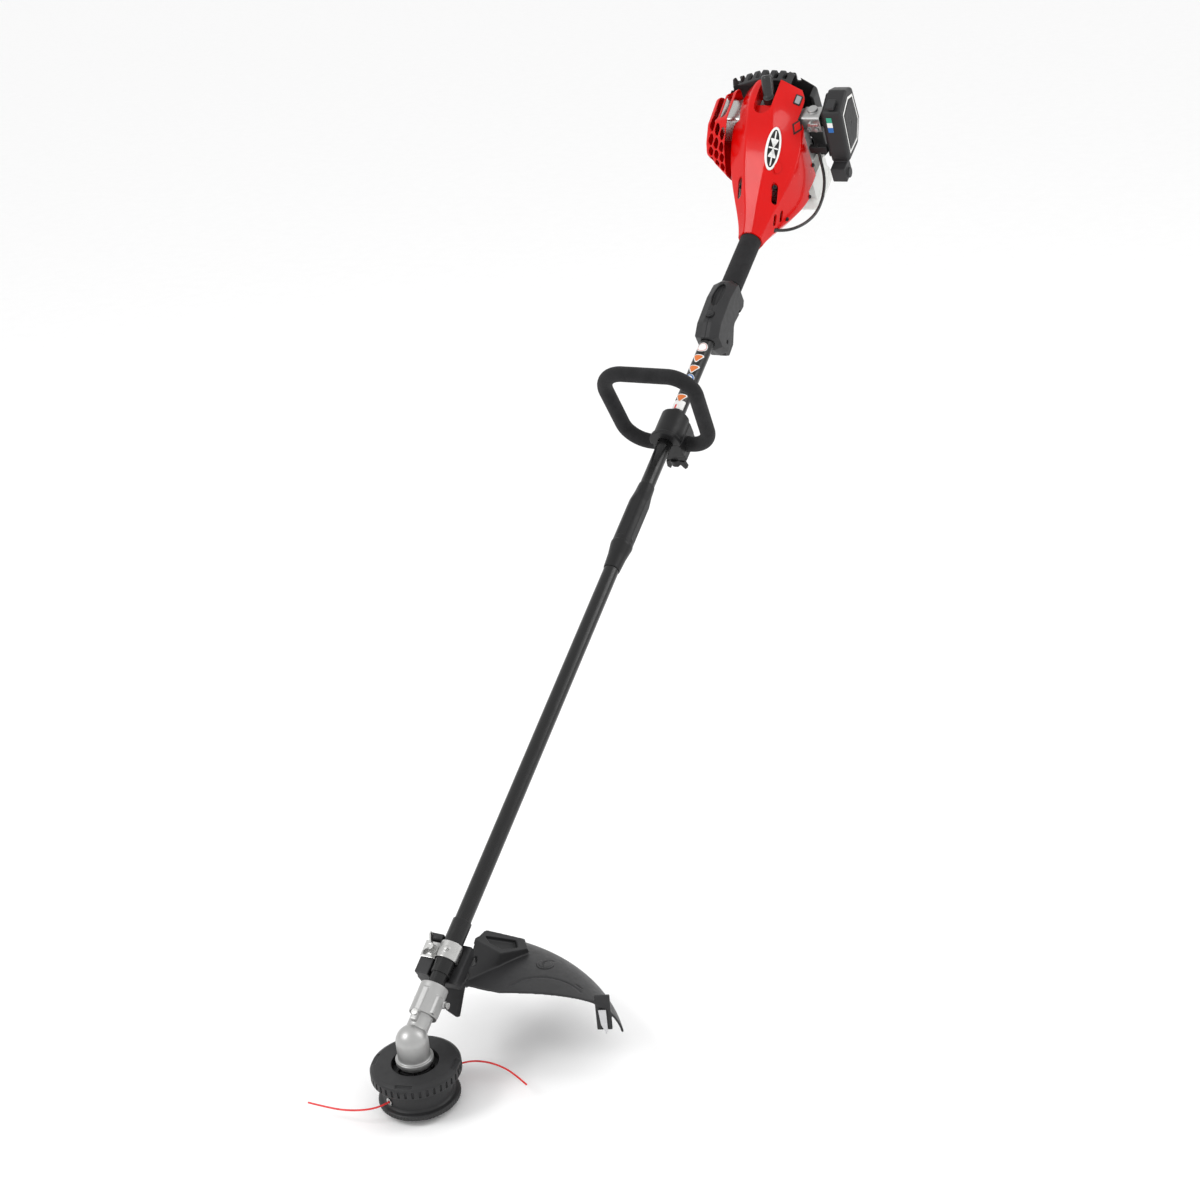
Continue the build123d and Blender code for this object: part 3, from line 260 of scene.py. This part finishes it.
def mesh_from(name, points, faces, smooth_angle=40.0):
    mesh = bpy.data.meshes.new(name)
    mesh.from_pydata([tuple(p) for p in points], [], faces)
    mesh.validate()
    mesh.shade_smooth()
    mesh.set_sharp_from_angle(angle=math.radians(smooth_angle))
    return mesh


FACES_KEPT = 0.35


def mould(node, voxel, passes):
    """Stands for a CAD node: its shape remade with the soft edges of a moulding or casting."""
    mesh = NODES[node].data.copy()
    mesh.name = node + "_skin"
    if "custom_normal" in mesh.attributes:
        mesh.attributes.remove(mesh.attributes["custom_normal"])
    piece = new_piece(node + "_skin", mesh, NODE_BODY[node], SLOT_OF_NODE[node])
    remesh = piece.modifiers.new("even_faces", "REMESH")
    remesh.mode = "VOXEL"
    remesh.voxel_size = voxel * MM
    remesh.use_smooth_shade = True
    soften = piece.modifiers.new("soft_edges", "SMOOTH")
    soften.factor = 0.5
    soften.iterations = passes
    fewer = piece.modifiers.new("fewer_faces", "DECIMATE")
    fewer.ratio = FACES_KEPT
    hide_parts(node)
    return piece


def refine(node, width, segments, angle=32.0):
    """Stands for a CAD node: its shape with flat faces joined up and every sharp edge rounded."""
    mesh = NODES[node].data.copy()
    mesh.name = node + "_skin"
    body = bmesh.new()
    body.from_mesh(mesh)
    bmesh.ops.remove_doubles(body, verts=body.verts, dist=0.002 * MM)
    bmesh.ops.dissolve_limit(body, angle_limit=math.radians(0.4), verts=body.verts, edges=body.edges,
                             use_dissolve_boundaries=False)
    body.to_mesh(mesh)
    body.free()
    if "custom_normal" in mesh.attributes:
        mesh.attributes.remove(mesh.attributes["custom_normal"])
    mesh.shade_smooth()
    mesh.set_sharp_from_angle(angle=math.radians(angle))
    piece = new_piece(node + "_skin", mesh, NODE_BODY[node], SLOT_OF_NODE[node])
    bevel = piece.modifiers.new("rounded_edges", "BEVEL")
    bevel.width = width * MM
    bevel.segments = segments
    bevel.limit_method = "ANGLE"
    bevel.angle_limit = math.radians(angle)
    bevel.use_clamp_overlap = True
    bevel.miter_outer = "MITER_ARC"
    normals = piece.modifiers.new("even_normals", "WEIGHTED_NORMAL")
    normals.keep_sharp = False
    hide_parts(node)
    return piece


def ring_tube(name, centres, axes, radii, sides, closed):
    """Mesh tube through ring centres. axes are the two directions that span each ring."""
    points = []
    for centre, (first, second), radius in zip(centres, axes, radii):
        for side in range(sides):
            turn = 2 * math.pi * side / sides
            points.append(centre + (first * math.cos(turn) + second * math.sin(turn)) * radius)
    faces = []
    rings = len(centres)
    for ring in range(rings if closed else rings - 1):
        for side in range(sides):
            here, there = ring * sides, ((ring + 1) % rings) * sides
            after = (side + 1) % sides
            faces.append((here + side, here + after, there + after, there + side))
    if not closed:
        faces.append(tuple(reversed(range(sides))))
        faces.append(tuple((rings - 1) * sides + side for side in range(sides)))
    return mesh_from(name, points, faces)


def roughen(mesh, height, scale):
    """Moves each point in or out a little, as foam has uneven cells."""
    for vertex in mesh.vertices:
        lump = noise.noise(vertex.co * scale) + 0.6 * noise.noise(vertex.co * scale * 2.7)
        vertex.co += vertex.normal * lump * height * MM


# ---------------------------------------------------------------- cutting lines and throttle cable
def corded(name, route, diameter, body, slot):
    """A cord on a NURBS spline with the route's points as its control points."""
    curve = bpy.data.curves.new(name, "CURVE")
    curve.dimensions = "3D"
    curve.bevel_depth = diameter / 2
    curve.bevel_resolution = 5
    curve.use_fill_caps = True
    curve.resolution_u = 16
    spline = curve.splines.new("NURBS")
    spline.points.add(len(route) - 1)
    for point, place in zip(spline.points, route):
        point.co = (*place, 1)
    spline.order_u = 3
    spline.use_endpoint_u = True
    return new_piece(name, curve, body, slot)


LINE_LEFT = [(-0.0163, -0.0365, 0.024), (-0.0216, -0.0484, 0.0238), (-0.031, -0.058, 0.023),
             (-0.045, -0.065, 0.0218), (-0.066, -0.0705, 0.0204), (-0.09, -0.0725, 0.02),
             (-0.118, -0.074, 0.0212)]
LINE_RIGHT = [(0.0163, 0.0365, 0.024), (0.022, 0.0495, 0.0242), (0.03, 0.0605, 0.0242),
              (0.043, 0.0695, 0.0238), (0.062, 0.0735, 0.0228), (0.083, 0.0715, 0.0216),
              (0.104, 0.064, 0.0204), (0.125, 0.053, 0.0192)]
LINE_DIAMETER = 0.0024


def add_cutting_lines():
    for name, route in (("trimmer_line_left", LINE_LEFT), ("trimmer_line_right", LINE_RIGHT)):
        line = corded(name + "_cord", route, LINE_DIAMETER, "head", "red_nylon")
        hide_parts(name)


CABLE_ROUTE = [at(MOUTH + station, side, up) for side, up, station in (
    (26, -8, 34), (38, -17, 42), (54, -24, 56), (67, -30, 78), (75, -32, 104), (78, -25, 132),
    (78, -8, 153), (75, 16, 163.5), (75, 52, 164.5))]
CABLE_DIAMETER = 0.005


def add_throttle_cable():
    cable = corded("throttle_cable_cord", CABLE_ROUTE, CABLE_DIAMETER, "trimmer", "black_rubber")
    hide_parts("throttle_cable")


# ---------------------------------------------------------------- foam pieces
def rounded_loop(corners, radii, step):
    """Even points on a closed outline with round corners, with the way each one runs."""
    outline = []
    count = len(corners)
    for index, radius in enumerate(radii):
        before, here, after = (Vector(corners[(index + k) % count]) for k in (-1, 0, 1))
        way_in, way_out = (here - before).normalized(), (after - here).normalized()
        half = way_in.angle(way_out) / 2
        reach = radius * math.tan(half)
        start = here - way_in * reach
        inward = Vector((way_in.y, -way_in.x))
        centre = start + inward * radius
        swing = 2 * half
        arcs = max(6, round(radius * swing / step))
        for arc in range(arcs + 1):
            turn = -swing * arc / arcs
            spoke = -inward * radius
            outline.append(centre + Vector((spoke.x * math.cos(turn) - spoke.y * math.sin(turn),
                                            spoke.x * math.sin(turn) + spoke.y * math.cos(turn))))
    even = []
    for index, here in enumerate(outline):
        after = outline[(index + 1) % len(outline)]
        gap = (after - here).length
        pieces = max(1, round(gap / step))
        even += [here.lerp(after, k / pieces) for k in range(pieces) if gap > 1e-6]
    return even


def add_front_handle():
    """The loop handle's foam cover, with uneven cells."""
    corners = [(-82, 121), (68, 121), (60, -28), (-74, -28)]
    outline = rounded_loop(corners, [38, 36, 36, 40], 1.6)
    centres, axes = [], []
    for index, point in enumerate(outline):
        way = (outline[(index + 1) % len(outline)] - outline[index - 1]).normalized()
        centres.append(at(HANDLE, point.x, point.y))
        out = SIDE * -way.y + UP * way.x
        axes.append((out, BOOM))
    mesh = ring_tube("front_handle_foam", centres, axes, [11.45 * MM] * len(centres), 56, True)
    roughen(mesh, 0.12, 420)
    foam = new_piece("front_handle_foam", mesh, "front_handle", "foam_rubber")
    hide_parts("front_handle")


def add_rear_grip():
    """The rear foam sleeve, with rounded ends and uneven cells."""
    low, high, radius, roll = TRIGGER_TOP + 0.4, MOUTH + 2, 17.2, 2.0
    stations, radii = [], []
    for step in range(5):
        turn = math.pi / 2 * step / 4
        stations.append(low + roll * (1 - math.cos(turn)))
        radii.append(radius - roll * (1 - math.sin(turn)))
    steps = 70
    stations += [low + roll + (high - low - 2 * roll) * (k + 1) / steps for k in range(steps)]
    radii += [radius] * steps
    for step in range(1, 5):
        turn = math.pi / 2 * step / 4
        stations.append(high - roll * (1 - math.sin(turn)))
        radii.append(radius - roll * (1 - math.cos(turn)))
    mesh = ring_tube("rear_grip_foam", [at(s) for s in stations], [(SIDE, UP)] * len(stations),
                     [r * MM for r in radii], 80, False)
    roughen(mesh, 0.12, 420)
    foam = new_piece("rear_grip_foam", mesh, "trimmer", "foam_rubber")
    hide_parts("rear_grip")


# ---------------------------------------------------------------- small blank plates and labels
LABEL_COLORS = {
    "label_white": (0.82, 0.82, 0.8),
    "label_orange": (0.64, 0.15, 0.018),
    "label_blue": (0.01, 0.12, 0.4),
    "label_grey": (0.3, 0.31, 0.32),
    "label_green": (0.03, 0.35, 0.22),
    "label_red": (0.7, 0.02, 0.02),
}
for label_name, label_color in LABEL_COLORS.items():
    FINISHES[label_name] = finish(label_name, label_color, 0.32, mottle=0.05, grain=600, depth=0.01,
                                  edge_mm=0.2)


LABEL_RINGS = 8


def divided(outline, step):
    """The same closed outline with a point at least every step."""
    fine = []
    for index, (along, around) in enumerate(outline):
        next_along, next_around = outline[(index + 1) % len(outline)]
        parts = max(1, math.ceil(math.hypot(next_along - along, next_around - around) / step))
        fine += [(along + (next_along - along) * k / parts, around + (next_around - around) * k / parts)
                 for k in range(parts)]
    return fine


def rings_between(count):
    """Faces that join the LABEL_RINGS + 1 rings of points, each with the same count."""
    faces = []
    for ring in range(LABEL_RINGS):
        for k in range(count):
            after = (k + 1) % count
            here, there = ring * count, (ring + 1) * count
            faces.append((here + k, here + after, there + after, there + k))
    return faces


def thickened(name, points, count, body, slot, thickness):
    """A label from its rings of points, in one of the label colours, on a CAD slot of the record."""
    label = new_piece(name, mesh_from(name, points, rings_between(count)), body, slot)
    solid = label.modifiers.new("thickness", "SOLIDIFY")
    solid.thickness = thickness * MM
    solid.offset = 0


def tube_label(name, slot, station, angle, outline, lift=0.15):
    """A thin printed shape wrapped on the boom. outline is in millimetres, along and around the tube."""
    outline = divided(outline, 1.2)
    points = []
    for ring in range(LABEL_RINGS + 1):
        share = ring / LABEL_RINGS
        for along, around in outline:
            turn = math.radians(angle) + around * share / TUBE_R
            reach = TUBE_R + lift
            points.append(at(station + along * share, reach * math.cos(turn), reach * math.sin(turn)))
    thickened(name, points, len(outline), "trimmer", slot, 0.08)


def disc(radius, count=28):
    return [(radius * math.cos(2 * math.pi * k / count), radius * math.sin(2 * math.pi * k / count))
            for k in range(count)]


def panel(length, width, corner=1.5):
    """Outline of a rectangle with round corners."""
    outline = []
    for index, (sx, sy) in enumerate(((1, 1), (-1, 1), (-1, -1), (1, -1))):
        for step in range(5):
            turn = math.pi / 2 * (index + step / 4)
            outline.append((sx * (length / 2 - corner) + corner * math.cos(turn),
                            sy * (width / 2 - corner) + corner * math.sin(turn)))
    return outline


def triangle(size):
    """A triangle that points down the boom, with blunt corners."""
    corners = [(-size, 0), (size * 0.6, size * 0.95), (size * 0.6, -size * 0.95)]
    blunt = []
    for index, (along, around) in enumerate(corners):
        for other in (corners[index - 1], corners[(index + 1) % 3]):
            blunt.append((along + (other[0] - along) * 0.12, around + (other[1] - around) * 0.12))
    return blunt


def add_boom_labels():
    """Blank coloured shapes on the tube between the loop handle and the trigger."""
    facing = 88
    tube_label("boom_label_disc_rim", "label_white", 1163, facing, disc(9))
    tube_label("boom_label_disc_ring", "label_red", 1163, facing, disc(7.6), lift=0.22)
    tube_label("boom_label_disc_face", "label_white", 1163, facing, disc(6.9), lift=0.29)
    for index, station in enumerate((1141, 1119, 1060)):
        tube_label(f"boom_label_wedge_rim_{index}", "label_white", station, facing, triangle(11.5))
        tube_label(f"boom_label_wedge_{index}", "label_orange", station, facing, triangle(9), lift=0.22)
    tube_label("boom_label_ring_rim", "label_white", 1099, facing, disc(8.5))
    tube_label("boom_label_ring", "label_blue", 1099, facing, disc(7.5), lift=0.22)
    tube_label("boom_label_ring_face", "label_white", 1099, facing, disc(5), lift=0.29)
    tube_label("boom_label_bar", "label_blue", 1079, facing, panel(7, 14))
    tube_label("boom_label_plate", "label_white", 1046, facing, panel(17, 22))
    tube_label("boom_label_plate_mark", "label_red", 1042, facing + 12, panel(8, 3, 1), lift=0.22)


def compass(side, up, station):
    """Unit vector from its parts to the side, off the boom and up the boom."""
    return (SIDE * side + UP * up + BOOM * station).normalized()


SEARCH = 12  # how far off a laid label looks for the skin under it


def laid_label(name, slot, node, centre, facing, along, outline, lift=0.5, thick=0.3):
    """A thin blank shape laid on a CAD node. centre is side, up and station behind the mouth."""
    normal = compass(*facing)
    run = compass(*along)
    run = (run - normal * run.dot(normal)).normalized()
    over = normal.cross(run)
    shape = NODES[node].data
    skin = BVHTree.FromPolygons([v.co for v in shape.vertices], [p.vertices for p in shape.polygons])
    middle = at(MOUTH + centre[2], centre[0], centre[1])
    outline = divided(outline, 1.5)
    points = []
    for ring in range(LABEL_RINGS + 1):
        share = max(ring / LABEL_RINGS, 0.001)
        for along_mm, over_mm in outline:
            flat = middle + (run * along_mm + over * over_mm) * share * MM
            found = skin.ray_cast(flat + normal * SEARCH * MM, -normal, 2 * SEARCH * MM)[0]
            points.append((flat if found is None else found) + normal * lift * MM)
    thickened(name, points, len(outline), NODE_BODY[node], slot, thick)


def scaled(outline, factor, shift=(0, 0)):
    return [(a * factor + shift[0], b * factor + shift[1]) for a, b in outline]


def oval(long_radius, short_radius, count=40):
    return [(long_radius * a, short_radius * b) for a, b in disc(1, count)]


def add_badge():
    """The blank oval grille badge on the shroud, with the hooded bump below it."""
    centre, facing, along = (24.8, 90.6, 114.7), (0.55, 0.7, -0.45), (3.4, 34.8, 60.4)
    laid_label("badge_rim", "label_white", "shroud", centre, facing, along, oval(35, 12), lift=1.0, thick=1.6)
    laid_label("badge_recess", "black_plastic", "shroud", centre, facing, along, oval(30.5, 8.8), lift=1.9,
               thick=0.2)
    bars = ((56, 2, 0), (2.2, 13, -14), (2.2, 16, 0), (2.2, 13, 14))
    for bar, (length, width, reach) in enumerate(bars):
        laid_label(f"badge_bar_{bar}", "label_white", "shroud", centre, facing, along,
                   scaled(panel(length, width, 0.9), 1.0, (reach, 0)), lift=2.3, thick=0.5)
    laid_label("shroud_bump", "red_plastic", "shroud", (33, 68, 95), (0.69, 0.57, -0.45), along, oval(9, 6),
               lift=1.0, thick=2.4)


def add_plates():
    """Blank coloured plates on the shroud and the air filter cover."""
    diamond = [(-15, 0), (0, -9), (15, 0), (0, 9)]
    place, facing, along = (49.4, 89.5, 166.1), (0.65, 0.69, -0.32), (0.1, 0.2, 1)
    laid_label("side_plate_edge", "black_plastic", "shroud", place, facing, along, diamond, lift=0.5,
               thick=0.6)
    laid_label("side_plate", "red_plastic", "shroud", place, facing, along, scaled(diamond, 0.7), lift=0.9)
    place, facing = (43, 109, 208), (0.53, 0.84, 0.09)
    laid_label("rear_plate_edge", "black_plastic", "shroud", place, facing, along, panel(20, 12), lift=0.5)
    laid_label("rear_plate", "label_grey", "shroud", place, facing, along, panel(15, 8), lift=0.75)
    face = [(-29, -40), (8, -43), (31, -20), (31, 31), (12, 40), (-20, 31)]
    place, facing, along = (126, 73, 197), (1, 0, 0), (0, 0, 1)
    laid_label("cover_plate_edge", "label_white", "air_filter_cover", place, facing, along, face, lift=0.4)
    laid_label("cover_plate", "black_plastic", "air_filter_cover", place, facing, along, scaled(face, 0.9),
               lift=0.65)
    for index, slot in enumerate(("label_green", "label_white", "label_blue")):
        laid_label(f"cover_patch_{index}", slot, "air_filter_cover", (105, 101 - 9 * index, 166),
                   (0, 0.2, -1), (0, 1, 0), panel(9, 9, 0.6), lift=0.4)


def add_notch_pocket():
    """The sloping red wall in the shroud's notch, in front of the plug boot."""
    middle, centre, radius, rear = -4, 178, 14.9, 188
    floor, slope, wall = 108, 0.3, 1.6
    outline = []
    for k in range(21):
        turn = math.pi * (1 + k / 20)
        outline.append((middle + radius * math.cos(turn), centre + radius * math.sin(turn)))
    outline += [(middle + radius, rear), (middle - radius, rear)]
    points = [at(MOUTH + station, side, floor + (station - centre + 15) * slope - thick)
              for thick in (0, wall) for side, station in outline]
    count = len(outline)
    faces = [tuple(range(count)), tuple(reversed(range(count, 2 * count)))]
    faces += [(k, k + count, (k + 1) % count + count, (k + 1) % count) for k in range(count)]
    new_piece("notch_pocket", mesh_from("notch_pocket", points, faces), "trimmer", "red_plastic")


def add_guard_marks():
    """The blank embossed disc on the guard."""
    place, normal = Vector((95.4, 179.6, 109.9)) * MM - at(MOUTH), Vector((0.11, 0.74, 0.66))
    centre = (place.x / MM, place.dot(UP) / MM, place.dot(BOOM) / MM)
    facing = (normal.x, normal.dot(UP), normal.dot(BOOM))
    for name, radius, lift, thick in (("guard_disc", 11, 0.35, 0.6), ("guard_disc_face", 8, 0.7, 0.4)):
        laid_label(name, "dark_plastic", "guard", centre, facing, (1, 0, 0), disc(radius), lift=lift,
                   thick=thick)


def add_screw(name, centre, facing):
    """A screw head with its drive recess. centre is side, up and station behind the mouth."""
    radius, height = 3.4, 3.0
    out = compass(*facing)
    first = out.orthogonal().normalized()
    second = out.cross(first)
    base = at(MOUTH + centre[2], centre[0], centre[1])
    steps = ((-2, radius), (height * 0.7, radius), (height, radius * 0.8), (height, radius * 0.45),
             (height * 0.4, radius * 0.4))
    mesh = ring_tube(name, [base + out * rise * MM for rise, _ in steps], [(first, second)] * len(steps),
                     [r * MM for _, r in steps], 20, False)
    new_piece(name, mesh, "trimmer", "black_plastic")


def add_screws():
    screws = (((31, 50, 70), (0.6, 0.7, -0.4)), ((57.4, 11.1, 164), (1, 0, 0)),
              ((55.6, -21.4, 126), (1, 0, -0.2)), ((38.9, -11, 63), (1, 0, -0.5)),
              ((-26, 48, 72), (-0.5, 0.75, -0.4)))
    for index, (centre, facing) in enumerate(screws):
        add_screw(f"shroud_screw_{index}", centre, facing)


# ---------------------------------------------------------------- floor
def add_floor():
    mesh = mesh_from("floor", [(-60, -20, 0), (60, -20, 0), (60, 120, 0), (-60, 120, 0)], [(0, 1, 2, 3)])
    floor = bpy.data.objects.new("floor", mesh)
    bpy.context.scene.collection.objects.link(floor)
    floor.data.materials.append(finish("floor_paper", (0.95, 0.95, 0.95), 0.8, mottle=0.01, grain=200,
                                       depth=0.01))


# ---------------------------------------------------------------- making
add_camera()
add_studio()
add_floor()
add_cutting_lines()
add_front_handle()
add_rear_grip()
add_throttle_cable()
add_boom_labels()
add_badge()
add_plates()
add_screws()
add_notch_pocket()
add_guard_marks()

# Voxel size in millimetres and smoothing passes for each moulded or cast node.
MOULDED = {
    "head_cover": (0.45, 3), "head_drum": (0.45, 3), "bump_knob": (0.5, 3), "gearbox_housing": (0.6, 8),
    "guard": (1.1, 4), "guard_clamp": (0.4, 3), "wing_bolt": (0.35, 5), "coupler": (0.7, 4),
    "handle_clamp_cap": (0.6, 8), "handle_clamp_base": (0.6, 5), "handle_wing_nut": (0.5, 8),
    "trigger_housing_left": (0.6, 8), "trigger_housing_right": (0.6, 8), "throttle_trigger": (0.6, 8),
    "stop_switch": (0.35, 4), "plug_boot": (0.6, 8), "starter_cover": (1.0, 5), "muffler_guard": (0.8, 5),
    "air_filter_base": (0.9, 4), "air_filter_cover": (0.8, 6), "cover_latch": (0.4, 4), "fuel_cap": (0.6, 4),
    "carburettor": (0.5, 4), "starter_grip": (0.6, 6), "case_screws": (0.3, 3),
}
for moulded_node, (voxel_size, smooth_passes) in MOULDED.items():
    mould(moulded_node, voxel_size, smooth_passes)
refine("shroud", width=0.8, segments=3)

bpy.context.view_layer.update()
